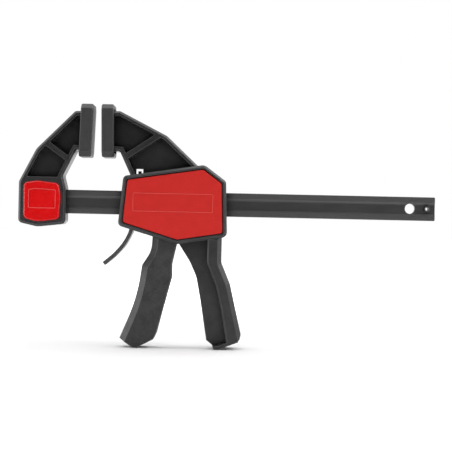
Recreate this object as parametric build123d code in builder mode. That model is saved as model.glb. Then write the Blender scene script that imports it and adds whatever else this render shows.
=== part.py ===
"""Quick release bar clamp, one-handed, about 150 mm opening and 64 mm throat.

Frame: X along the bar, towards its stop pin; Y away from the button side; Z up. The clamp
stands on the tips of its trigger and grip at Z = 0, centred on the origin. Millimetres.

The fixed jaw, bar and stop pin slide through the housing as one rail. Squeezing the trigger
pushes the drive plates along the bar, which carries the rail with it. The release lever is
the brake plate around the bar, which holds the rail between strokes.
"""

import os
from math import cos, radians, tan

from build123d import *

os.makedirs("parts", exist_ok=True)

# ---- driving dimensions ---------------------------------------------------------------

# bar
bar_length = 303.5
bar_height = 17.7
bar_thickness = 6.0
groove_depth = 0.6              # rolled groove along both sides of the bar
groove_below_top = 4.3
groove_above_bottom = 3.9
bar_end_rounding = 0.8
stop_pin_diameter = 4.5
stop_pin_bore = 2.6
stop_pin_slot = 0.5
stop_pin_length = 9.5
stop_pin_inset = 6.0            # from the bar's end to the pin's axis
hanging_hole_diameter = 7.6
hanging_hole_spacing = 12.6     # from the stop pin to the hanging hole

# overall layout
handle_height = 77.5            # floor to the lowest corner of the housing
housing_below_bar = 21.25
throat = 64.05                  # bar to the pads' top edge
jaw_overhang = 7.0              # fixed jaw beyond the end of the bar
jaw_reach = 54.6                # fixed jaw's back to its clamping face, at the top
jaw_gap = 5.85                  # between the pads' top edges, as the clamp is stored
pad_overhang = 14.0             # moving pad in front of the housing
housing_length = 81.1
housing_slope = 8.75            # degrees that the housing's upper surface rises to the rear

# widths across the clamp
jaw_width = 20.0
pad_width = 27.0
trigger_width = 20.0
grip_width = 26.0
web_thickness = 4.4

# soft pads
pad_thickness = 9.2
pad_height = 39.5
pad_bevel = 3.6
pad_bevel_rounding = 1.6
pad_face_rounding = 1.3
pad_rebate_depth = 1.8          # rebate in the pad's back, which the jaw's end stands in
pad_rebate_margin = 2.0         # gap above and below the jaw's end
pad_rebate_side_gap = 0.4
fixed_pad_lean = 1.9            # degrees that the clamping faces toe in towards the top
moving_pad_lean = 1.25
seat_height = 29.0              # jaw end behind the pad
seat_above_pad_bottom = 5.2
seat_plate_depth = 2.6          # plate at the jaw's end, which the pad wraps around
seat_plate_root = 1.0
seat_plate_width = 16.0
seat_plate_margin = 3.0

# mouldings
jaw_rim = 3.3
rib_width = 4.0
pocket_corner = 0.8
housing_rim = 2.5               # frame around each cover
housing_wall = 4.6
edge_bevel = 1.5
cover_thickness = 2.0
cover_gap = 0.9                 # shadow gap around each cover
line_width = 0.45               # raised outline on covers and button
line_height = 0.25

# trigger, drive and brake
pivot_from_left = 36.0          # trigger pin behind the housing's front
pivot_above_bar = 5.95
pivot_pin_diameter = 5.0
ear_radius = 4.6
nose_below_bar = 1.35           # middle of the nose that pushes the drive plates
nose_radius = 2.5
nose_lead = 4.3                 # nose centre in front of the pivot, along X
cheek_thickness = 2.2
trigger_bevel = 4.6
drive_plate_thickness = 1.8
drive_plate_width = 19.0
plate_margin = 5.9              # steel above and below the bar in the drive plates
lever_thickness = 2.8
lever_width = 16.0
lever_from_left = 9.8           # middle of the brake plate behind the housing's front
lever_top_above_bar = 6.1
partition_thickness = 2.2
partition_from_left = 18.4
spring_seat_thickness = 1.2
drive_wire = 1.4
drive_turns = 8
brake_wire = 1.2
brake_turns = 2.5

# jaw button and latch
button_thickness = 3.2
button_proud = 1.7
button_recess_depth = 4.5
button_travel = 2.6
peg_radius = 3.0
peg_waist_radius = 1.5
peg_from_bar_end = 10.8
cap_thickness = 2.65
cap_proud = 0.8
button_wire = 0.7
button_spring_radius = 3.4
button_turns = 4

# clearances
slide_gap = 0.3                 # bar in its guides
coil_gap = 0.35                 # springs around the bar's corners
spring_room = 0.9               # drive spring to each cover
cheek_play = 0.8                # trigger to the ring around its pin in each cover
fit_gap = 0.15                  # snapped and seated pieces
pin_gap = 0.05                  # running fit on a pin, on the radius
press_gap = 0.01                # pressed pins, on the radius

# ---- stations that follow -------------------------------------------------------------

left = -(bar_length + jaw_overhang) / 2
right = -left
bar_left = left + jaw_overhang
bar_bottom = handle_height + housing_below_bar
bar_top = bar_bottom + bar_height
bar_middle = (bar_bottom + bar_top) / 2
pad_top = bar_top + throat
pad_bottom = pad_top - pad_height
fixed_face = left + jaw_reach
moving_face = fixed_face + jaw_gap
housing_left = moving_face + pad_overhang
housing_right = housing_left + housing_length

coil_radius = ((bar_height / 2) ** 2 + (bar_thickness / 2) ** 2) ** 0.5 + coil_gap
cover_inside = round(coil_radius + drive_wire + spring_room, 1)
housing_width = 2 * (cover_inside + cover_thickness)

pivot_x = housing_left + pivot_from_left
pivot_z = bar_top + pivot_above_bar
nose_x = pivot_x + nose_lead
nose_z = bar_bottom - nose_below_bar
drive_plate_left = nose_x + nose_radius + pin_gap
drive_plates_right = drive_plate_left + 2 * drive_plate_thickness + pin_gap
spring_seat_left = housing_right - housing_wall - spring_seat_thickness + fit_gap
lever_x = housing_left + lever_from_left
lever_top = bar_top + lever_top_above_bar
partition_left = housing_left + partition_from_left
peg_x = bar_left + peg_from_bar_end
stop_pin_x = right - stop_pin_inset
hanging_hole_x = stop_pin_x - hanging_hole_spacing
cheek_inside = trigger_width / 2 - cheek_thickness

housing_bottom_x = housing_left + 43.8
housing_rise = tan(radians(housing_slope))
housing_outline = [
    (housing_left, bar_bottom - 8.1),
    (housing_left + 3.4, bar_top + 10.9),
    (housing_right - 17.7, bar_top + 11.0 + housing_rise * (housing_length - 21.1)),
    (housing_right - 1.5, bar_top + 8.3),
    (housing_right, bar_bottom - 15.3),
    (housing_bottom_x, handle_height),
]
housing_corners = [3.5, 3.5, 6.0, 3.5, 4.5, 3.0]


# ---- helpers --------------------------------------------------------------------------


def along(start, end, station):
    """Height at a station on the straight line between two outline points."""
    share = (station - start[0]) / (end[0] - start[0])
    return start[1] + share * (end[1] - start[1])


def housing_top_at(x):
    """Height of the housing's upper surface at x, in front of its rear slope."""
    return along(housing_outline[1], housing_outline[2], x)


def under_wall(x):
    """Height of the underside of the housing's top wall at x."""
    return housing_top_at(x) - housing_wall / cos(radians(housing_slope))


def filleted_face(points, radii):
    """Add a closed outline with rounded corners to the open sketch."""
    with BuildLine() as outline:
        FilletPolyline(*points, radius=radii, close=True)
    make_face(outline.edges())


def plain_face(points, mode=Mode.ADD):
    """Add a closed outline with sharp corners to the open sketch."""
    with BuildLine() as outline:
        Polyline(*points, close=True)
    make_face(outline.edges(), mode=mode)


def bevelled_plate(points, radii, width, bevel):
    """A moulding across the clamp's middle plane, bevelled along both of its faces."""
    with BuildPart() as plate:
        with BuildSketch(Plane.XZ):
            filleted_face(points, radii)
        extrude(amount=width / 2, both=True)
        chamfer(plate.faces().filter_by(Axis.Y).edges(), bevel)
    return plate.part


def block(low, high, mode=Mode.ADD):
    """A box in the open part, from its lowest corner to its highest."""
    size = [b - a for a, b in zip(low, high)]
    middle = [(a + b) / 2 for a, b in zip(low, high)]
    with Locations(tuple(middle)):
        Box(*size, mode=mode)


def bar_hole(low_x, high_x, gap):
    """Cut the bar's rectangular passage, with a gap all round."""
    block(
        (low_x, -bar_thickness / 2 - gap, bar_bottom - gap),
        (high_x, bar_thickness / 2 + gap, bar_top + gap),
        mode=Mode.SUBTRACT,
    )


def cross_bore(x, z, radius, mode=Mode.SUBTRACT, depth=60.0):
    """A round bore, or a shaft, straight across the clamp."""
    with Locations(Location((x, 0, z), (90, 0, 0))):
        Cylinder(radius, depth, mode=mode)


def seat_at(face, lean, side, z, inset=0.0):
    """Point behind a leaning pad: face is its clamping edge at the top, side its back."""
    x = face + side * (pad_thickness - inset) / cos(radians(lean))
    return (x + side * (pad_top - z) * tan(radians(lean)), z)


def coil(wire, radius, turns, start, end, plane_point, direction):
    """A compression spring from start to end along its axis."""
    length = end - start - wire
    centre = Vector(*plane_point) + Vector(*direction) * (start + wire / 2)
    with BuildPart() as spring:
        with BuildLine() as path:
            Helix(length / turns, length, radius, center=centre, direction=direction)
        with BuildSketch(Plane(origin=path.line @ 0, z_dir=path.line % 0)):
            Circle(wire / 2)
        sweep(path=path.line, is_frenet=True)
    return spring.part


def save(part, name):
    """Label a finished piece and write it."""
    part.label = name
    export_step(part, f"parts/{name}.step")


# ---- jaw arms -------------------------------------------------------------------------

seat_low = pad_bottom + seat_above_pad_bottom
seat_high = seat_low + seat_height
jaw_end = pad_rebate_depth - fit_gap
overrun = 8.0                   # jaw drawn this far past its seat, then trimmed to it


def arm_pockets(points, side, rib_at, rib_angle, floor):
    """Cut one side's two pockets, which leave a rim, a rib and the middle web."""
    with BuildSketch(Plane.XZ.offset(side * jaw_width / 2)) as pockets:
        plain_face(points)
        offset(amount=-jaw_rim, kind=Kind.INTERSECTION, mode=Mode.REPLACE)
        with Locations(rib_at):
            Rectangle(90, rib_width, rotation=rib_angle, mode=Mode.SUBTRACT)
        with Locations((rib_at[0], floor)):
            Rectangle(200, 60, align=(Align.CENTER, Align.MAX), mode=Mode.SUBTRACT)
        fillet(pockets.vertices(), pocket_corner)
    depth = (jaw_width - web_thickness) / 2
    extrude(pockets.sketch, amount=-side * depth, mode=Mode.SUBTRACT)


def finish_seat(face, lean, side):
    """Trim a jaw to its pad seat and add the plate that the pad wraps around."""
    with BuildSketch(Plane.XZ) as waste:
        plain_face([
            seat_at(face, lean, side, seat_low - 2, inset=jaw_end),
            seat_at(face, lean, side, seat_high + 8, inset=jaw_end),
            seat_at(face, lean, side, seat_high + 8, inset=2 * overrun),
            seat_at(face, lean, side, seat_low - 2, inset=2 * overrun),
        ])
    extrude(waste.sketch, amount=jaw_width, both=True, mode=Mode.SUBTRACT)
    low = seat_low + seat_plate_margin
    high = seat_high - seat_plate_margin
    with BuildSketch(Plane.XZ) as plate:
        plain_face([
            seat_at(face, lean, side, low, inset=jaw_end - seat_plate_root),
            seat_at(face, lean, side, high, inset=jaw_end - seat_plate_root),
            seat_at(face, lean, side, high, inset=jaw_end + seat_plate_depth),
            seat_at(face, lean, side, low, inset=jaw_end + seat_plate_depth),
        ])
    extrude(plate.sketch, amount=seat_plate_width / 2, both=True)


fixed_outline = [
    (fixed_face - pad_thickness + overrun, seat_high),
    (fixed_face - 13.6, seat_high - 0.2),
    (fixed_face - 42.1, bar_top + 29.9),
    (left, bar_top + 5.4),
    (left, bar_bottom - 7.2),
    (left + 14.1, bar_bottom - 10.3),
    (left + 35.2, bar_bottom - 7.8),
    (left + 34.9, bar_top + 1.4),
    (left + 32.6, bar_top + 10.1),
    (fixed_face - 12.4, seat_low),
    (fixed_face - pad_thickness + overrun, seat_low),
]
fixed_corners = [0, 2.5, 12.0, 4.0, 3.5, 9.0, 3.5, 3.0, 3.0, 1.5, 0]

button_outline = [
    (left + 3.9, bar_top + 4.5),
    (left + 13.6, bar_top + 6.2),
    (left + 29.7, bar_top + 4.4),
    (left + 31.5, bar_top - 4.7),
    (left + 30.5, bar_bottom - 4.5),
    (left + 14.4, bar_bottom - 6.5),
    (left + 4.2, bar_bottom - 4.1),
]
button_corners = [3.4, 14.0, 3.4, 20.0, 3.4, 14.0, 3.6]

button_face = -jaw_width / 2 - button_proud
button_back = button_face + button_thickness
recess_floor = -jaw_width / 2 + button_recess_depth
cap_recess = jaw_width / 2 + cap_proud - cap_thickness - fit_gap
peg_shoulder = 0.05
spring_pocket = 1.5

with BuildPart() as fixed_jaw:
    add(bevelled_plate(fixed_outline, fixed_corners, jaw_width, edge_bevel))
    for side in (1, -1):
        arm_pockets(fixed_outline, side, (fixed_face - 26.7, bar_top + 28.7), -35.5,
                    floor=bar_top + 9.1)
    finish_seat(fixed_face, fixed_pad_lean, -1)
    bar_hole(bar_left - slide_gap, left + jaw_reach, fit_gap)
    with BuildSketch(Plane.XZ.offset(-recess_floor)):
        filleted_face(button_outline, button_corners)
        offset(amount=0.35, mode=Mode.REPLACE)
    extrude(amount=jaw_width, mode=Mode.SUBTRACT)
    with BuildSketch(Plane.XZ.offset(-cap_recess)):
        filleted_face(button_outline, button_corners)
        offset(amount=fit_gap, mode=Mode.REPLACE)
    extrude(amount=-jaw_width, mode=Mode.SUBTRACT)
    with BuildSketch(Plane.XZ.offset(-recess_floor)):
        with Locations((peg_x, bar_middle)):
            Circle(button_spring_radius + 0.9)
    extrude(amount=-spring_pocket, mode=Mode.SUBTRACT)
    with BuildSketch(Plane.XZ):
        with Locations((peg_x, bar_middle)):
            Circle(peg_waist_radius + fit_gap)
    extrude(amount=jaw_width, mode=Mode.SUBTRACT)
    with BuildSketch(Plane.XZ):
        with Locations((peg_x, bar_middle)):
            Circle(peg_radius + pin_gap)
    extrude(amount=-jaw_width, mode=Mode.SUBTRACT)
save(fixed_jaw.part, "fixed_jaw")


# ---- release button of the fixed jaw --------------------------------------------------


def face_line(points, plane):
    """Raise a thin plain outline on a face."""
    with BuildSketch(plane) as line:
        filleted_face(points, 1.2)
        offset(amount=-line_width, mode=Mode.SUBTRACT)
    extrude(line.sketch, amount=line_height)


button_line = [
    (left + 7.6, bar_top - 0.4),
    (left + 13.6, bar_top + 0.5),
    (left + 27.9, bar_top - 0.4),
    (left + 27.9, bar_top - 14.3),
    (left + 7.6, bar_top - 14.3),
]

with BuildPart() as release_button:
    with BuildSketch(Plane.XZ.offset(-button_back)):
        filleted_face(button_outline, button_corners)
    extrude(amount=button_thickness)
    chamfer(release_button.faces().sort_by(Axis.Y)[0].edges(), 0.9)
    face_line(button_line, Plane.XZ.offset(-button_face))
    with BuildSketch(Plane.XZ.offset(-button_back)):
        with Locations((peg_x, bar_middle)):
            Circle(button_spring_radius + 0.9)
            Circle(button_spring_radius - 1.0, mode=Mode.SUBTRACT)
    extrude(amount=spring_pocket, mode=Mode.SUBTRACT)
    with BuildSketch(Plane.XZ.offset(-button_back)):
        with Locations((peg_x, bar_middle)):
            Circle(peg_waist_radius + press_gap)
    extrude(amount=button_thickness - 1.2, mode=Mode.SUBTRACT)
save(release_button.part, "release_button")

with BuildPart() as latch_peg:
    with BuildSketch(Plane.XZ.offset(-peg_shoulder)):
        with Locations((peg_x, bar_middle)):
            Circle(peg_waist_radius)
    extrude(amount=peg_shoulder - button_back + button_thickness - 1.4)
    with BuildSketch(Plane.XZ.offset(-peg_shoulder)):
        with Locations((peg_x, bar_middle)):
            Circle(peg_radius)
    extrude(amount=-(cap_recess - peg_shoulder - 1.8))
    chamfer(latch_peg.edges().sort_by(Axis.Y)[-1], 0.4)
save(latch_peg.part, "latch_peg")

button_spring = coil(
    button_wire, button_spring_radius, button_turns,
    start=button_back - spring_pocket + 0.05, end=recess_floor + spring_pocket - 0.05,
    plane_point=(peg_x, 0, bar_middle), direction=(0, 1, 0),
)
save(button_spring, "button_spring")

with BuildPart() as jaw_rear_cap:
    with BuildSketch(Plane.XZ.offset(-cap_recess - fit_gap)):
        filleted_face(button_outline, button_corners)
    extrude(amount=-cap_thickness)
    chamfer(jaw_rear_cap.faces().sort_by(Axis.Y)[-1].edges(), 0.9)
    with BuildSketch(Plane.XZ.offset(-cap_recess)):
        with Locations((peg_x, bar_middle)):
            Circle(peg_radius + 0.4)
    extrude(amount=-button_travel / 2, mode=Mode.SUBTRACT)
save(jaw_rear_cap.part, "jaw_rear_cap")


# ---- bar ------------------------------------------------------------------------------

half = bar_thickness / 2
groove_top = bar_top - groove_below_top
groove_bottom = bar_bottom + groove_above_bottom
groove_slope = 1.8

with BuildPart() as bar:
    with BuildSketch(Plane.YZ.offset(bar_left)) as section:
        with Locations((0, bar_middle)):
            Rectangle(bar_thickness, bar_height)
        fillet(section.vertices(), 0.5)
        for side in (1, -1):
            plain_face([
                (side * half, groove_top),
                (side * (half - groove_depth), groove_top - groove_slope),
                (side * (half - groove_depth), groove_bottom + groove_slope),
                (side * half, groove_bottom),
            ], mode=Mode.SUBTRACT)
    extrude(amount=bar_length)
    with BuildSketch(Plane.XZ):
        filleted_face(
            [(bar_left, bar_bottom), (bar_left, bar_top), (right, bar_top), (right, bar_bottom)],
            [0, 0, bar_end_rounding, bar_end_rounding])
    extrude(amount=bar_thickness, both=True, mode=Mode.INTERSECT)
    cross_bore(stop_pin_x, bar_middle, stop_pin_diameter / 2 + press_gap)
    cross_bore(hanging_hole_x, bar_middle, hanging_hole_diameter / 2)
    with BuildSketch(Plane.XZ):
        with Locations((peg_x, bar_middle)):
            Circle(peg_waist_radius + 0.2)
        with Locations(((peg_x + bar_left) / 2 - 1, bar_middle)):
            Rectangle(peg_from_bar_end + 2, 2 * peg_waist_radius + 0.4)
    extrude(amount=bar_thickness, both=True, mode=Mode.SUBTRACT)
    with BuildSketch(Plane.XZ.offset(fit_gap - peg_shoulder)):
        with Locations((peg_x, bar_middle)):
            Circle(peg_radius + fit_gap)
    extrude(amount=-bar_thickness, mode=Mode.SUBTRACT)
save(bar.part, "bar")

with BuildPart() as stop_pin:
    with BuildSketch(Plane.XZ):
        with Locations((stop_pin_x, bar_middle)):
            Circle(stop_pin_diameter / 2)
            Circle(stop_pin_bore / 2, mode=Mode.SUBTRACT)
        with Locations((stop_pin_x, bar_middle + stop_pin_diameter / 2)):
            Rectangle(stop_pin_slot, stop_pin_diameter, mode=Mode.SUBTRACT)
    extrude(amount=stop_pin_length / 2, both=True)
save(stop_pin.part, "stop_pin")


# ---- soft pads ------------------------------------------------------------------------


def clamp_pad(face, lean, side):
    """A soft pad that wraps around its jaw's seat plate; side is where its back lies."""
    with BuildPart() as pad:
        with BuildSketch(Plane.XZ):
            plain_face([
                seat_at(face, lean, side, pad_bottom, inset=pad_thickness),
                seat_at(face, lean, side, pad_top, inset=pad_thickness),
                seat_at(face, lean, side, pad_top),
                seat_at(face, lean, side, pad_bottom),
            ])
        extrude(amount=pad_width / 2, both=True)
        chamfer(pad.edges().filter_by(Axis.X), pad_bevel)
        fillet(pad.edges().filter_by(Axis.X), pad_bevel_rounding)
        face_and_back = pad.faces().filter_by(lambda f: abs(f.normal_at().X) > 0.9)
        fillet(face_and_back.edges(), pad_face_rounding)
        recesses = (
            (-pad_rebate_margin, pad_rebate_depth, jaw_width / 2 + pad_rebate_side_gap),
            (seat_plate_margin - fit_gap, jaw_end + seat_plate_depth + fit_gap,
             seat_plate_width / 2 + fit_gap),
        )
        for margin, depth, half_width in recesses:
            low, high = seat_low + margin, seat_high - margin
            with BuildSketch(Plane.XZ) as recess:
                plain_face([
                    seat_at(face, lean, side, low, inset=-1.0),
                    seat_at(face, lean, side, high, inset=-1.0),
                    seat_at(face, lean, side, high, inset=depth),
                    seat_at(face, lean, side, low, inset=depth),
                ])
            extrude(recess.sketch, amount=half_width, both=True, mode=Mode.SUBTRACT)
    return pad.part


save(clamp_pad(fixed_face, fixed_pad_lean, -1), "fixed_jaw_pad")
save(clamp_pad(moving_face, moving_pad_lean, 1), "moving_jaw_pad")


# ---- main moulding: moving jaw, housing and grip ---------------------------------------

moving_outline = [
    (moving_face + pad_thickness - overrun, seat_high + 0.2),
    (moving_face + 13.9, seat_high + 0.3),
    (housing_right - 46.0, bar_top + 41.3),
    (housing_right - 22.4, bar_top + 19.3),
    (housing_right - 24.3, bar_top + 4.3),
    (housing_left + 9.8, bar_top + 4.3),
    (housing_left + 8.0, bar_top + 12.5),
    (moving_face + 14.2, seat_low - 0.6),
    (moving_face + pad_thickness - overrun, seat_low),
]
moving_corners = [0, 2.5, 6.0, 0, 0, 0, 0, 2.5, 0]
moving_rib = (housing_left + 16.6, bar_top + 33.3)

with BuildPart() as moving_arm:
    add(bevelled_plate(moving_outline, moving_corners, jaw_width, edge_bevel))
    for side in (1, -1):
        arm_pockets(moving_outline, side, moving_rib, 34.0, floor=bar_top)
    finish_seat(moving_face, moving_pad_lean, 1)

grip_web_outline = [
    (pivot_x + 8.8, handle_height + 6.6),
    (pivot_x + 8.8, handle_height + 0.9),
    (housing_right - 27.4, handle_height - 12.8),
    (housing_right - 22.3, handle_height - 24.1),
    (housing_right - 19.0, handle_height - 41.2),
    (housing_right - 14.0, 6.2),
    (housing_right - 8.5, 1.8),
    (housing_right + 3.7, 6.0),
    (housing_right - 6.3, handle_height - 18.9),
    (housing_right - 6.3, handle_height + 6.6),
]
grip_web_corners = [0, 2.0, 25.0, 20.0, 30.0, 1.5, 0, 0, 0, 0]

foot_left = housing_right - 8.1
foot_right = housing_right - 5.2
finger_side = [
    (housing_right - 14.3, handle_height + 7.0),
    (housing_right - 14.5, handle_height - 13.4),
    (housing_right - 7.5, handle_height - 30.3),
    (housing_right - 3.2, handle_height - 47.8),
    (housing_right + 1.4, 3.1),
]
palm_side = [
    (housing_right + 9.0, 5.4),
    (housing_right + 11.0, 7.9),
    (housing_right + 11.7, 11.4),
    (housing_right + 3.0, handle_height - 29.1),
    (housing_right - 3.8, handle_height - 13.3),
    (housing_right - 3.8, handle_height + 7.0),
]
flange_outline = finger_side + palm_side
flange_corners = [0, 8.0, 10.0, 40.0, 0, 0, 0, 0, 12.0, 5.0, 0]
palm_bevel = 3.0
ridge_bevel = 1.0
palm_wall = 3.4
side_wall = 2.6

tip_outline = [
    (foot_left - 1.2, 2.7),
    (foot_left, 0),
    (foot_right, 0),
    (housing_right + 9.9, 5.8),
    (housing_right + 9.0, 8.2),
    (foot_right, 2.7),
]


def is_palm_edge(edge):
    """Is this outline edge on the palm side of the grip's flange?"""
    middle = edge.center()
    top, bottom = finger_side[1], finger_side[-1]
    ridge_x = along((top[1], top[0]), (bottom[1], bottom[0]), middle.Z)
    return middle.X > ridge_x + 5.0 and middle.Z > palm_side[2][1]


def is_ridge_edge(edge):
    """Is this outline edge on the finger side of the grip's flange?"""
    middle = edge.center()
    return not is_palm_edge(edge) and middle.X < finger_side[-1][0] and middle.Z > finger_side[-1][1]


with BuildPart() as grip:
    with BuildSketch(Plane.XZ):
        filleted_face(flange_outline, flange_corners)
    extrude(amount=grip_width / 2, both=True)
    chamfer(grip.faces().filter_by(Axis.Y).edges().filter_by(is_palm_edge), palm_bevel)
    chamfer(grip.faces().filter_by(Axis.Y).edges().filter_by(is_ridge_edge), ridge_bevel)
    # hollow between the palm wall and the two side walls, open towards the trigger
    with BuildSketch(Plane.XZ):
        plain_face([(x - palm_wall, z) for x, z in reversed(palm_side[2:5])]
                   + [(housing_right, 9.0)]
                   + [(housing_right - 12.3, 9.0)]
                   + [(housing_right - 26.3, handle_height - 11.7)])
    extrude(amount=grip_width / 2 - side_wall, both=True, mode=Mode.SUBTRACT)
    # rim across the bottom, which is the foot, and the web up the middle
    with BuildSketch(Plane.XZ):
        plain_face(tip_outline)
    extrude(amount=grip_width / 2, both=True)
    with BuildSketch(Plane.XZ):
        filleted_face(grip_web_outline, grip_web_corners)
    extrude(amount=web_thickness / 2, both=True)

trigger_opening = (pivot_x - 13.2, housing_right - 17.3)
opening_half = trigger_width / 2 + 0.5
window = (housing_left + 12.2, housing_left + 17.4)
window_height = 4.4
window_tongue = (housing_left + 13.8, housing_left + 16.1)
tongue_height = 2.7
hooks = (housing_left + 13.5, housing_right - 30.0)
hook_width = 4.0
hook_reach = 4.5                # inwards from the cover's back
hook_thickness = 1.8
barb_length = 1.6
barb_height = 0.9
pivot_boss_half = cheek_inside - slide_gap
fulcrum_rib = 1.1
fulcrum_depth = 1.6
fulcrum_gap = 0.5
lever_slot = (lever_x - lever_thickness / 2 - 0.8, lever_x + 6.6)


def housing_inset(inset, mode=Mode.ADD):
    """Add the housing's outline, moved inwards all round, to the open sketch."""
    with BuildLine() as outline:
        Polyline(*housing_outline, close=True)
    with BuildSketch() as inner:
        make_face(outline.edges())
        offset(amount=-inset, kind=Kind.INTERSECTION, mode=Mode.REPLACE)
        fillet(inner.vertices(), 2.0)
    add(inner.sketch, mode=mode)


with BuildPart() as housing:
    add(bevelled_plate(housing_outline, housing_corners, housing_width, edge_bevel))
    add(moving_arm.part)
    add(grip.part)
    # seats for the two covers, and the cavity between them
    for side in (1, -1):
        with BuildSketch(Plane.XZ.offset(side * housing_width / 2)):
            housing_inset(housing_rim)
        extrude(amount=-side * (cover_thickness + press_gap), mode=Mode.SUBTRACT)
    with BuildSketch(Plane.XZ):
        housing_inset(housing_wall)
    extrude(amount=housing_width, both=True, mode=Mode.SUBTRACT)
    # openings in the bottom wall for the trigger and the release lever
    block((trigger_opening[0], -opening_half, handle_height - 6),
          (trigger_opening[1], opening_half, bar_bottom), mode=Mode.SUBTRACT)
    block((lever_slot[0], -lever_width / 2 - 0.6, handle_height),
          (lever_slot[1], lever_width / 2 + 0.6, bar_bottom - 3), mode=Mode.SUBTRACT)
    # the web carries on through the trigger's opening
    with BuildSketch(Plane.XZ):
        filleted_face(grip_web_outline, grip_web_corners)
    extrude(amount=web_thickness / 2, both=True)
    # partition between the brake and the trigger
    with BuildSketch(Plane.XZ):
        housing_inset(housing_wall - 0.5)
        with Locations((partition_left + partition_thickness / 2, bar_middle)):
            Rectangle(partition_thickness, 200, mode=Mode.INTERSECT)
    extrude(amount=cover_inside - fit_gap, both=True)
    # central boss for the trigger pin and ribs that seat the top of the brake plate
    block((pivot_x - ear_radius, -pivot_boss_half, bar_top + 0.9),
          (pivot_x + ear_radius, pivot_boss_half, housing_top_at(pivot_x) - 2))
    for offset_x in (-lever_thickness / 2 - fulcrum_gap - fulcrum_rib,
                     lever_thickness / 2 + fulcrum_gap):
        block((lever_x + offset_x, -lever_width / 2, lever_top - fulcrum_depth),
              (lever_x + offset_x + fulcrum_rib, lever_width / 2,
               housing_top_at(lever_x) - 2))
    cross_bore(pivot_x, pivot_z, pivot_pin_diameter / 2 + press_gap)
    bar_hole(housing_left - 5, housing_right + 5, slide_gap)
    # flat pocket for the drive spring's seat
    pocket_half = coil_radius + drive_wire
    block((spring_seat_left - 4, -pocket_half, bar_middle - pocket_half),
          (spring_seat_left + spring_seat_thickness, pocket_half, bar_middle + pocket_half),
          mode=Mode.SUBTRACT)
    # window in the jaw's web, with a tongue that stands up in it
    window_floor = housing_top_at(window[0])
    block((window[0], -jaw_width / 2, window_floor),
          (window[1], jaw_width / 2, window_floor + window_height), mode=Mode.SUBTRACT)
    block((window_tongue[0], -web_thickness / 2, window_floor - 1),
          (window_tongue[1], web_thickness / 2, window_floor + tongue_height))
    # notches in the top wall that the covers' hooks catch in
    for hook_left in hooks:
        for side in (1, -1):
            barb = [side * (hook_reach - cover_inside), side * (hook_reach - barb_length - cover_inside)]
            block((hook_left - fit_gap, min(barb) - fit_gap, under_wall(hook_left) - 1),
                  (hook_left + hook_width + fit_gap, max(barb) + fit_gap,
                   under_wall(hook_left) + barb_height + fit_gap), mode=Mode.SUBTRACT)
save(housing.part, "housing")


# ---- covers ---------------------------------------------------------------------------

cover_line = [
    (housing_left + 10.8, bar_top - 1.4),
    (housing_right - 10.8, bar_top - 1.4),
    (housing_right - 10.8, bar_top - 15.2),
    (housing_left + 10.8, bar_top - 15.2),
]
ring_height = cover_inside - trigger_width / 2 - cheek_play


def side_cover(side):
    """A snap-in cover; side is 1 for the front one and -1 for the rear one."""
    outer = Plane.XZ.offset(side * housing_width / 2)
    inner = Plane.XZ.offset(side * cover_inside)
    with BuildPart() as cover:
        with BuildSketch(outer):
            housing_inset(housing_rim + cover_gap)
        extrude(amount=-side * cover_thickness)
        chamfer(cover.faces().sort_by(Axis.Y)[0 if side > 0 else -1].edges(), 0.4)
        with BuildSketch(outer) as line:
            filleted_face(cover_line, 1.0)
            offset(amount=-line_width, mode=Mode.SUBTRACT)
        extrude(line.sketch, amount=side * line_height)
        # ring that holds the end of the trigger pin
        with BuildSketch(inner) as ring:
            with Locations((pivot_x, pivot_z)):
                Circle(pivot_pin_diameter / 2 + 2.0)
                Circle(pivot_pin_diameter / 2 + fit_gap, mode=Mode.SUBTRACT)
        extrude(ring.sketch, amount=-side * ring_height)
        # hooks that reach in under the housing's top wall, each with a barb for its notch
        for hook_left in hooks:
            arm = [-side * cover_inside, side * (hook_reach - cover_inside)]
            barb = [side * (hook_reach - cover_inside), side * (hook_reach - barb_length - cover_inside)]
            top = under_wall(hook_left) - fit_gap
            block((hook_left, min(arm), top - hook_thickness),
                  (hook_left + hook_width, max(arm), top))
            block((hook_left, min(barb), top - hook_thickness),
                  (hook_left + hook_width, max(barb), top + barb_height))
    return cover.part


save(side_cover(1), "front_cover")
save(side_cover(-1), "rear_cover")


# ---- trigger --------------------------------------------------------------------------

trigger_foot = (pivot_x - 23.4, pivot_x - 20.6)
trigger_outline = [
    (pivot_x - 4.6, pivot_z),
    (pivot_x - 10.2, handle_height + 10.5),
    (pivot_x - 10.9, handle_height - 5.3),
    (pivot_x - 17.7, handle_height - 15.9),
    (pivot_x - 21.3, handle_height - 40.4),
    (pivot_x - 33.5, 6.8),
    (trigger_foot[0], 0),
    (trigger_foot[1], 0),
    (pivot_x - 8.0, 6.6),
    (pivot_x - 6.3, 10.8),
    (pivot_x + 4.3, handle_height - 25.1),
    (pivot_x + 4.2, handle_height - 15.3),
    (pivot_x + 7.6, handle_height + 0.5),
    (pivot_x + 5.4, handle_height + 9.1),
    (pivot_x + 3.4, nose_z - 6.0),
    (pivot_x + 4.6, pivot_z),
]
trigger_corners = [0, 0, 20.0, 5.0, 130.0, 0, 1.5, 1.5, 2.0, 2.0, 5.0, 8.0, 2.5, 2.0, 0, 0]
trigger_tip_wall = 3.0
wall_top = handle_height + 9.9


def is_finger_edge(edge):
    """Is this outline edge on the trigger's finger side, below the housing?"""
    middle = edge.center()
    return middle.X < pivot_x - 9.0 and 5.0 < middle.Z < wall_top and (
        middle.X < along((4.0, pivot_x - 27.5), (handle_height, pivot_x - 8.0), middle.Z))


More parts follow.
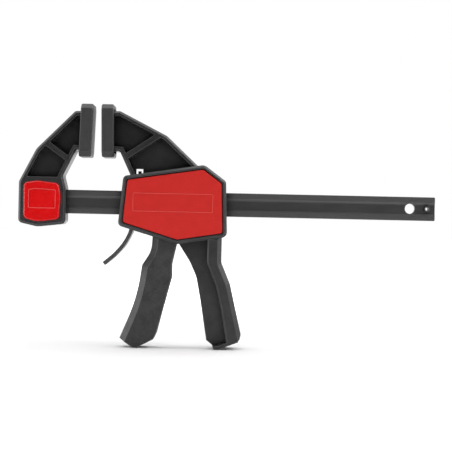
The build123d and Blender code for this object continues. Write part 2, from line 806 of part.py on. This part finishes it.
with BuildPart() as trigger:
    with BuildSketch(Plane.XZ):
        filleted_face(trigger_outline, trigger_corners)
        with Locations((pivot_x, pivot_z)):
            Circle(ear_radius)
        with Locations((nose_x, nose_z)):
            Circle(nose_radius)
    extrude(amount=trigger_width / 2, both=True)
    finger_edges = trigger.faces().filter_by(Axis.Y).edges().filter_by(is_finger_edge)
    chamfer(finger_edges, trigger_bevel)
    # channel between the cheeks, open towards the grip
    with BuildSketch(Plane.XZ):
        plain_face([
            (pivot_x - 30, wall_top),
            (pivot_x - 5.8, wall_top),
            (pivot_x - 6.4, handle_height - 2.0),
            (pivot_x - 13.6, handle_height - 18.2),
            (pivot_x - 16.4, handle_height - 36.4),
            (pivot_x - 26.2, 10.0),
            (pivot_x - 20.6, trigger_tip_wall),
            (pivot_x - 8.0, 6.6 + trigger_tip_wall),
            (pivot_x + 30, 20.0),
            (pivot_x + 30, pivot_z + 20),
            (pivot_x - 30, pivot_z + 20),
        ])
    extrude(amount=cheek_inside, both=True, mode=Mode.SUBTRACT)
    cross_bore(pivot_x, pivot_z, pivot_pin_diameter / 2 + pin_gap)
save(trigger.part, "trigger")

with BuildPart() as trigger_pin:
    cross_bore(pivot_x, pivot_z, pivot_pin_diameter / 2, mode=Mode.ADD,
               depth=2 * (cover_inside - fit_gap))
    chamfer(trigger_pin.edges().filter_by(GeomType.CIRCLE), 0.3)
save(trigger_pin.part, "trigger_pin")


# ---- drive plates, release lever and springs ------------------------------------------

for number in (1, 2):
    plate_left = drive_plate_left + (number - 1) * (drive_plate_thickness + pin_gap)
    with BuildPart() as drive_plate:
        with BuildSketch(Plane.YZ.offset(plate_left)):
            with Locations((0, bar_middle)):
                RectangleRounded(drive_plate_width, bar_height + 2 * plate_margin, 1.5)
                Rectangle(bar_thickness + 2 * slide_gap, bar_height + 2 * slide_gap,
                          mode=Mode.SUBTRACT)
        extrude(amount=drive_plate_thickness)
    save(drive_plate.part, f"drive_plate_{number}")

lever_path = [
    (lever_x, lever_top),
    (lever_x, bar_bottom - 12.0),
    (lever_x - 4.7, bar_bottom - 21.8),
    (lever_x - 12.4, bar_bottom - 30.4),
    (lever_x - 20.0, bar_bottom - 36.8),
]
lever_bends = [12.0, 40.0, 40.0]
lever_play = 0.55

with BuildPart() as release_lever:
    with BuildSketch(Plane.XZ):
        with BuildLine() as route:
            FilletPolyline(*lever_path, radius=lever_bends)
        trace(route.line, line_width=lever_thickness)
    extrude(amount=lever_width / 2, both=True)
    block((lever_x - 4, -bar_thickness / 2 - slide_gap, bar_bottom - lever_play),
          (lever_x + 4, bar_thickness / 2 + slide_gap, bar_top + slide_gap),
          mode=Mode.SUBTRACT)
save(release_lever.part, "release_lever")

with BuildPart() as spring_seat:
    with BuildSketch(Plane.YZ.offset(spring_seat_left)):
        with Locations((0, bar_middle)):
            RectangleRounded(2 * (coil_radius + drive_wire - fit_gap),
                             2 * (coil_radius + drive_wire - fit_gap), 2.0)
            Rectangle(bar_thickness + 2 * slide_gap, bar_height + 2 * slide_gap,
                      mode=Mode.SUBTRACT)
    extrude(amount=spring_seat_thickness - press_gap)
save(spring_seat.part, "spring_seat")

drive_spring = coil(
    drive_wire, coil_radius + drive_wire / 2, drive_turns,
    start=drive_plates_right + pin_gap, end=spring_seat_left - pin_gap,
    plane_point=(0, 0, bar_middle), direction=(1, 0, 0),
)
save(drive_spring, "drive_spring")

brake_spring = coil(
    brake_wire, coil_radius + brake_wire / 2, brake_turns,
    start=lever_x + lever_thickness / 2 + pin_gap, end=partition_left - pin_gap,
    plane_point=(0, 0, bar_middle), direction=(1, 0, 0),
)
save(brake_spring, "brake_spring")
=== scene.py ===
"""Quick release bar clamp: materials, springs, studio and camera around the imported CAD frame."""

from functools import cached_property
from math import pi, radians

import bpy
from mathutils import Matrix, Vector


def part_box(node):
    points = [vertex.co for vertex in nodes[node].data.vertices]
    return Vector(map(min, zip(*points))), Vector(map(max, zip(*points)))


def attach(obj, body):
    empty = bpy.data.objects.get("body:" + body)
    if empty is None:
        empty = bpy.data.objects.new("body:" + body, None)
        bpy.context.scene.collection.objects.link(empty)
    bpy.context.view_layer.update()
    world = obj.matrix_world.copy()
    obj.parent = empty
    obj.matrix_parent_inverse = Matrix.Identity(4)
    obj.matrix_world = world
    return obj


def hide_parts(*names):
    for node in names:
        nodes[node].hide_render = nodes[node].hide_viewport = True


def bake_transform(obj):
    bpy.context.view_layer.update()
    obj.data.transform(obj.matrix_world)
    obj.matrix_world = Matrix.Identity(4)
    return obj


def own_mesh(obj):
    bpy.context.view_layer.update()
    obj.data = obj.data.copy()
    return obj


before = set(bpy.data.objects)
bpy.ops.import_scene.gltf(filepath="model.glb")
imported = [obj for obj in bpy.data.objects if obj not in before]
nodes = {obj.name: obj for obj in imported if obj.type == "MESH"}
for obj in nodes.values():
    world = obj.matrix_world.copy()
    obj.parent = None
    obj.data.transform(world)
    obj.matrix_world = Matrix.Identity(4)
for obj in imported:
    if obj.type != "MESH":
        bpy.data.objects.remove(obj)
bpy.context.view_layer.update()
scene = bpy.context.scene
scene.view_settings.view_transform = "Standard"

MM = 0.001
WHITE = (1.0, 1.0, 1.0, 1.0)
NOISE_SPAN = (0.3, 0.7)         # nearly all values of a noise lie in it
BEVEL_SAMPLES = 6
OCCLUSION_SAMPLES = 8
EDGE_COSINES = (0.90, 0.995)    # of the true normal against a rounded one: edge, then face
PROUD_SPAN = (0.9, 0.3)         # shares of a raised height below its top: low, then proud
MIX_COLOURS = (6, 7)            # a Mix node's colour inputs, whose names repeat
MIX_RESULT = 2


# ---- node helpers ---------------------------------------------------------------------


class Nodes:
    """Makes and links nodes in one node tree."""

    def __init__(self, tree):
        self.tree = tree

    def node(self, kind, links=(), **values):
        """Add a node. Links go from sockets to its inputs, values to its settings or inputs."""
        made = self.tree.nodes.new(kind)
        for key, value in values.items():
            if hasattr(made, key):
                setattr(made, key, value)
            else:
                made.inputs[key.replace("_", " ")].default_value = value
        for source, target in links:
            self.tree.links.new(source, made.inputs[target])
        return made

    def put(self, value, target):
        """Link a socket to an input, or set the input to a value."""
        if hasattr(value, "is_linked"):
            self.tree.links.new(value, target)
        else:
            target.default_value = value

    def ramp(self, source, low, high, at=(0.0, 1.0), shape="LINEAR"):
        """Map the span at of a value to the span from low to high, and hold it at the ends."""
        made = self.node("ShaderNodeMapRange", [(source, "Value")], interpolation_type=shape)
        for key, value in zip(("From Min", "From Max", "To Min", "To Max"), (*at, low, high)):
            made.inputs[key].default_value = value
        return made.outputs["Result"]

    def maths(self, operation, first, second):
        """A Math node on sockets or numbers."""
        made = self.node("ShaderNodeMath", operation=operation)
        self.put(first, made.inputs[0])
        self.put(second, made.inputs[1])
        return made.outputs[0]

    def rays(self, *kinds):
        """1 for the kinds of ray that are named, and 0 for the rest."""
        path = self.node("ShaderNodeLightPath")
        total = path.outputs[f"Is {kinds[0]} Ray"]
        for kind in kinds[1:]:
            total = self.maths("MAXIMUM", total, path.outputs[f"Is {kind} Ray"])
        return total


class Shader(Nodes):
    """A material under construction, with its Principled shader."""

    def __init__(self, name, **sockets):
        self.material = bpy.data.materials.new(name)
        self.material.use_nodes = True
        super().__init__(self.material.node_tree)
        self.bsdf = self.tree.nodes["Principled BSDF"]
        for socket, value in sockets.items():
            self.bsdf.inputs[socket.replace("_", " ")].default_value = value

    @cached_property
    def place(self):
        """A point's place in the CAD frame at rest, in metres."""
        return self.node("ShaderNodeTexCoord").outputs["Object"]

    def mix(self, share, first, second):
        """Blend two colours by a socket. Each is a socket or three numbers."""
        made = self.node("ShaderNodeMix", [(share, "Factor")], data_type="RGBA")
        for index, colour in zip(MIX_COLOURS, (first, second)):
            self.put((*colour, 1.0) if isinstance(colour, tuple) else colour, made.inputs[index])
        return made.outputs[MIX_RESULT]

    def noise(self, size, detail=3.0, stretch=(1, 1, 1), roughness=0.55):
        """Noise whose features are about size metres across."""
        scaled = self.node("ShaderNodeMapping", [(self.place, "Vector")], Scale=stretch)
        made = self.node("ShaderNodeTexNoise", [(scaled.outputs[0], "Vector")],
                         Scale=1.0 / size, Detail=detail, Roughness=roughness)
        return made.outputs["Fac"]

    def between(self, noise, low, high, at=NOISE_SPAN):
        """Spread a noise between two numbers, or between two colours."""
        if isinstance(low, tuple):
            return self.mix(self.ramp(noise, 0.0, 1.0, at), low, high)
        return self.ramp(noise, low, high, at)

    def edges(self, radius, share):
        """A share at edges of the shape and 0 on its faces, about radius metres wide."""
        rounded = self.node("ShaderNodeBevel", Radius=radius, samples=BEVEL_SAMPLES)
        true = self.node("ShaderNodeNewGeometry")
        cosine = self.node("ShaderNodeVectorMath", operation="DOT_PRODUCT", links=[
            (rounded.outputs[0], 0), (true.outputs["Normal"], 1)])
        edge = self.ramp(cosine.outputs["Value"], 1.0, 0.0, at=EDGE_COSINES)
        return self.maths("MULTIPLY", edge, share)

    def recess(self, reach, shut=0.35, open_=0.8):
        """1 deep in hollows up to reach metres across, and 0 on open faces: the mask of painted
        shade.
        """
        sky = self.node("ShaderNodeAmbientOcclusion", Distance=reach, samples=OCCLUSION_SAMPLES)
        return self.ramp(sky.outputs["AO"], 1.0, 0.0, at=(shut, open_))

    def width(self):
        """Distance in metres from the clamp's middle plane, towards either side."""
        side = self.node("ShaderNodeSeparateXYZ", [(self.place, "Vector")]).outputs["Y"]
        return self.maths("ABSOLUTE", side, 0.0)

    def proud(self, name, height):
        """1 on what stands height metres proud at a node's sides, and 0 on what lies lower."""
        outermost = max(abs(corner[1]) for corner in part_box(name))
        return self.ramp(self.width(), 0.0, 1.0, at=[outermost - s * height for s in PROUD_SPAN])

    def finish(self, colour, roughness, height, depth, rounding):
        """Link the colour and roughness, and a bump depth metres high over rounded edges."""
        rounded = self.node("ShaderNodeBevel", Radius=rounding, samples=BEVEL_SAMPLES)
        bump = self.node("ShaderNodeBump", [(height, "Height"), (rounded.outputs[0], "Normal")],
                         Distance=depth)
        self.put(colour, self.bsdf.inputs["Base Color"])
        self.put(roughness, self.bsdf.inputs["Roughness"])
        self.put(bump.outputs[0], self.bsdf.inputs["Normal"])
        return self.material


def times(factor, colour):
    """A colour made darker or paler."""
    return tuple(factor * c for c in colour)


def paint(material, *names):
    """Give CAD nodes a material."""
    for name in names:
        data = nodes[name].data
        data.materials.clear()
        data.materials.append(material)


# ---- materials ------------------------------------------------------------------------

POCKET_WIDTH = (6 * MM, 10 * MM)        # pockets lie nearer to the middle plane than this
POCKET_SHADE = 0.15                     # of a plastic's dark colour, as painted shade in pockets and cracks
EDGE_HIGHLIGHT_SHADE = 3.8                        # of a plastic's light colour, as painted highlight at its edges
STREAK_SHADE = 1.35                     # of a steel's colour, in its paler streaks
MARK_HEIGHT = 0.25 * MM                 # raised outlines on the covers and the button, and the share of painted highlight on them
OUTLINE_HIGHLIGHT_SHARE = 0.6
GROOVE_DEPTH = 0.6 * MM                 # rolled grooves in the bar


def moulded_plastic(name, dark, light, gloss, grain, depth):
    """Black filled nylon with a fine moulded grain, painted shade in its pockets and cracks, and a
    painted highlight on its edges.
    """
    s = Shader(name)
    cloud = s.noise(9 * MM, detail=4.0)
    specks = s.noise(1.2 * MM, detail=4.0, roughness=0.7)
    mottle = s.maths("ADD", s.maths("MULTIPLY", cloud, 0.5), s.maths("MULTIPLY", specks, 0.5))
    body = s.between(mottle, dark, light, at=(0.41, 0.59))
    # painted highlight: the edges turn paler, standing in for the light that the bevels catch
    edge_wear_and_highlight = s.mix(s.edges(0.9 * MM, share=0.8), body, times(EDGE_HIGHLIGHT_SHADE, light))
    # painted shade: darker in pockets near the middle plane and in narrow cracks, from an
    # occlusion mask
    inwards = s.ramp(s.width(), 1.0, 0.0, at=POCKET_WIDTH)
    pocket = s.maths("MULTIPLY", s.recess(16 * MM), inwards)
    crack = s.recess(3 * MM, shut=0.25, open_=0.6)
    colour = s.mix(s.maths("MAXIMUM", pocket, crack), edge_wear_and_highlight, times(POCKET_SHADE, dark))
    roughness = s.between(s.noise(1.5 * MM), gloss - 0.05, gloss + 0.07)
    return s.finish(colour, roughness, s.noise(grain, detail=2.0), depth, rounding=0.3 * MM)


def matte_red():
    """Red cover: an even spark-eroded grain over a slightly cloudy red, with a painted highlight
    on its raised outline.
    """
    s = Shader("red_cover", Specular_IOR_Level=0.35)
    grains = s.noise(0.7 * MM, roughness=0.7)
    body = s.between(s.noise(6 * MM, detail=4.0), (0.56, 0.011, 0.007), (0.61, 0.013, 0.008))
    grained = s.mix(s.ramp(grains, 0.0, 0.6, at=(0.45, 0.7)), body, (0.44, 0.008, 0.005))
    # painted highlight on the raised outline, where it catches the light
    outline_highlight = s.maths("MULTIPLY", s.proud("front_cover", MARK_HEIGHT), OUTLINE_HIGHLIGHT_SHARE)
    colour = s.mix(outline_highlight, grained, (0.85, 0.12, 0.10))
    roughness = s.between(grains, 0.42, 0.60)
    return s.finish(colour, roughness, grains, depth=0.09 * MM, rounding=0.2 * MM)


def gloss_red():
    """Button and cap: smooth glossy red with faint waviness, and a painted highlight on the
    button's raised outline.
    """
    s = Shader("red_gloss", Specular_IOR_Level=0.25, Coat_Weight=0.12, Coat_Roughness=0.05)
    body = s.between(s.noise(8 * MM, detail=2.0), (0.64, 0.003, 0.004), (0.72, 0.004, 0.005))
    # painted highlight on the button's raised outline, where it catches the light
    outline_highlight = s.maths("MULTIPLY", s.proud("release_button", MARK_HEIGHT), OUTLINE_HIGHLIGHT_SHARE)
    colour = s.mix(outline_highlight, body, (0.90, 0.16, 0.15))
    roughness = s.between(s.noise(2 * MM), 0.16, 0.26)
    waves = s.noise(5 * MM, detail=2.0)
    return s.finish(colour, roughness, waves, depth=0.04 * MM, rounding=0.3 * MM)


def rubber():
    """Soft grey-black pad with a fine matte grain."""
    s = Shader("rubber_pad", Specular_IOR_Level=0.45)
    grains = s.noise(0.6 * MM)
    body = s.between(s.noise(7 * MM, detail=4.0), (0.034, 0.034, 0.034), (0.044, 0.044, 0.044))
    roughness = s.between(grains, 0.36, 0.50)
    return s.finish(body, roughness, grains, depth=0.05 * MM, rounding=0.4 * MM)


def blackened_bar():
    """Blackened rolled steel: streaks along the bar, painted light making it paler outside its
    grooves, and painted shade in its hollows.
    """
    s = Shader("black_bar", Metallic=0.35)
    streaks = s.noise(1.2 * MM, detail=4.0, stretch=(0.03, 1, 1))
    cloud = s.noise(14 * MM, detail=5.0, stretch=(0.4, 1, 1))
    body = s.between(cloud, (0.036, 0.036, 0.037), (0.050, 0.050, 0.051))
    # painted light: the lands outside the grooves are paler, standing in for the shading across
    # the rolled grooves
    lands = s.mix(s.proud("bar", GROOVE_DEPTH), body, (0.074, 0.074, 0.075))
    # painted shade: darker in the grooves and hollows, from an occlusion mask
    colour = s.mix(s.recess(9 * MM, shut=0.5, open_=0.9), lands, (0.020, 0.020, 0.020))
    roughness = s.between(streaks, 0.34, 0.50)
    return s.finish(colour, roughness, streaks, depth=0.03 * MM, rounding=0.6 * MM)


def steel(name, base, edge_wear_and_highlight, roughness, metallic):
    """Steel with fine drawn streaks and worn, paler edges."""
    s = Shader(name, Metallic=metallic)
    streaks = s.noise(0.5 * MM, stretch=(1, 1, 0.12))
    body = s.between(streaks, base, times(STREAK_SHADE, base))
    colour = s.mix(s.edges(0.3 * MM, share=0.2), body, edge_wear_and_highlight)
    return s.finish(colour, s.between(streaks, *roughness), streaks,
                    depth=0.02 * MM, rounding=0.15 * MM)


black_plastic = moulded_plastic("black_plastic", (0.016, 0.016, 0.017), (0.027, 0.027, 0.028),
                                gloss=0.34, grain=0.5 * MM, depth=0.03 * MM)
trigger_plastic = moulded_plastic("trigger_plastic", (0.019, 0.019, 0.020), (0.036, 0.036, 0.037),
                                  gloss=0.42, grain=0.9 * MM, depth=0.18 * MM)
lever_steel = steel("lever_steel", (0.066, 0.066, 0.066), (0.16, 0.16, 0.16),
                    roughness=(0.34, 0.48), metallic=0.5)
zinc_steel = steel("zinc_steel", (0.36, 0.36, 0.35), (0.55, 0.55, 0.54),
                   roughness=(0.28, 0.40), metallic=1.0)
spring_steel = steel("spring_steel", (0.32, 0.32, 0.33), (0.50, 0.50, 0.50),
                     roughness=(0.22, 0.34), metallic=1.0)

paint(black_plastic, "housing", "fixed_jaw")
paint(trigger_plastic, "trigger")
paint(matte_red(), "front_cover", "rear_cover")
paint(gloss_red(), "release_button", "jaw_rear_cap")
paint(rubber(), "fixed_jaw_pad", "moving_jaw_pad")
paint(blackened_bar(), "bar", "stop_pin")
paint(lever_steel, "release_lever")
paint(zinc_steel, "latch_peg", "trigger_pin", "drive_plate_1", "drive_plate_2", "spring_seat")
paint(spring_steel, "drive_spring", "brake_spring", "button_spring")


# ---- springs --------------------------------------------------------------------------


def loose_coil(node):
    """A piece of the same shape that stands for a CAD spring, because a spring shortens."""
    coil = bpy.data.objects.new(f"{node}_coil", nodes[node].data.copy())
    scene.collection.objects.link(coil)
    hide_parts(node)
    return coil


def pressed_coil(node, body):
    """A coil carried by a body, in a mesh of its own."""
    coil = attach(loose_coil(node), body)
    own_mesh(coil)


pressed_coil("drive_spring", "clamp_body")
pressed_coil("button_spring", "rail")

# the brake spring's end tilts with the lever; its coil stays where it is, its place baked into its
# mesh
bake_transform(loose_coil("brake_spring"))


# ---- studio ---------------------------------------------------------------------------

CLAMP_MIDDLE = Vector((0, 0, 0.09))
FLOOR_SIZE = 12.0
FLOOR_FRONT = -0.6              # gloss on the near faces would show a floor that came nearer
FLOOR_DROP = 0.2 * MM
SHADOW_REACH = (0.16, 0.55)     # from the origin: the floor turns plain white across it
DIM_SPAN = (-0.80, 0.0)         # of a direction's Y: the room turns from dim to white across it


def floor_material():
    """White paper that keeps the shadows near the object and fades to plain white around it."""
    s = Shader("studio_floor", Base_Color=(0.87, 0.87, 0.87, 1.0), Roughness=0.9,
               Specular_IOR_Level=0.0, Emission_Color=WHITE)
    place = s.node("ShaderNodeNewGeometry").outputs["Position"]
    distance = s.node("ShaderNodeVectorMath", [(place, 0)], operation="LENGTH").outputs["Value"]
    lift = s.ramp(distance, 0.0, 1.0, at=SHADOW_REACH, shape="SMOOTHSTEP")
    shown = s.maths("MULTIPLY", lift, s.rays("Camera", "Glossy"))
    s.put(shown, s.bsdf.inputs["Emission Strength"])
    return s.material


bpy.ops.mesh.primitive_plane_add(size=FLOOR_SIZE,
                                 location=(0, FLOOR_SIZE / 2 + FLOOR_FRONT, -FLOOR_DROP))
floor = bpy.context.object
floor.name = "floor"
floor.data.materials.append(floor_material())


def studio_world(front, ambient):
    """White room: gloss sees it at level front on the photographer's side, and soft light
    gets only its ambient share."""
    world = bpy.data.worlds.new("studio")
    world.use_nodes = True
    s = Nodes(world.node_tree)
    place = s.node("ShaderNodeTexCoord").outputs["Generated"]
    depth = s.node("ShaderNodeSeparateXYZ", [(place, "Vector")]).outputs["Y"]
    room = s.ramp(depth, front, 1.0, at=DIM_SPAN, shape="SMOOTHSTEP")
    backdrop = s.maths("MAXIMUM", room, s.rays("Camera"))
    level = s.ramp(s.rays("Camera", "Glossy", "Transmission"), ambient, 1.0)
    background = s.tree.nodes["Background"].inputs
    background["Color"].default_value = WHITE
    s.put(s.maths("MULTIPLY", backdrop, level), background["Strength"])
    return world


def softbox(name, place, size, power, mirrored=True):
    """A square area lamp that points at the clamp; mirrored is whether gloss shows it."""
    data = bpy.data.lights.new(name, "AREA")
    data.shape = "SQUARE"
    data.size = size
    data.energy = power
    lamp = bpy.data.objects.new(name, data)
    lamp.visible_glossy = mirrored
    scene.collection.objects.link(lamp)
    lamp.location = place
    lamp.rotation_mode = "QUATERNION"
    lamp.rotation_quaternion = (CLAMP_MIDDLE - Vector(place)).to_track_quat("-Z", "Y")


scene.world = studio_world(front=0.02, ambient=0.35)
softbox("top_light", (0.0, 0.35, 1.2), size=2.0, power=15.0)
softbox("left_light", (-1.2, -0.10, 0.35), size=1.3, power=8.0)
softbox("right_light", (1.0, -0.10, 0.90), size=1.1, power=9.0)
softbox("front_fill", (0.0, -1.6, 0.9), size=1.6, power=15.0, mirrored=False)


# ---- camera ---------------------------------------------------------------------------

CAMERA_PLACE = (-0.0006, -1.0, 0.0918)
CAMERA_TILT = pi / 2            # level, looking along +Y
CAMERA_ROLL = radians(1.22)

camera_data = bpy.data.cameras.new("camera")
camera_data.lens = 106.2
camera_data.sensor_width = 36.0
camera = bpy.data.objects.new("camera", camera_data)
scene.collection.objects.link(camera)
camera.matrix_world = (
    Matrix.Translation(CAMERA_PLACE)
    @ Matrix.Rotation(CAMERA_TILT, 4, "X")
    @ Matrix.Rotation(CAMERA_ROLL, 4, "Z")
)
scene.camera = camera
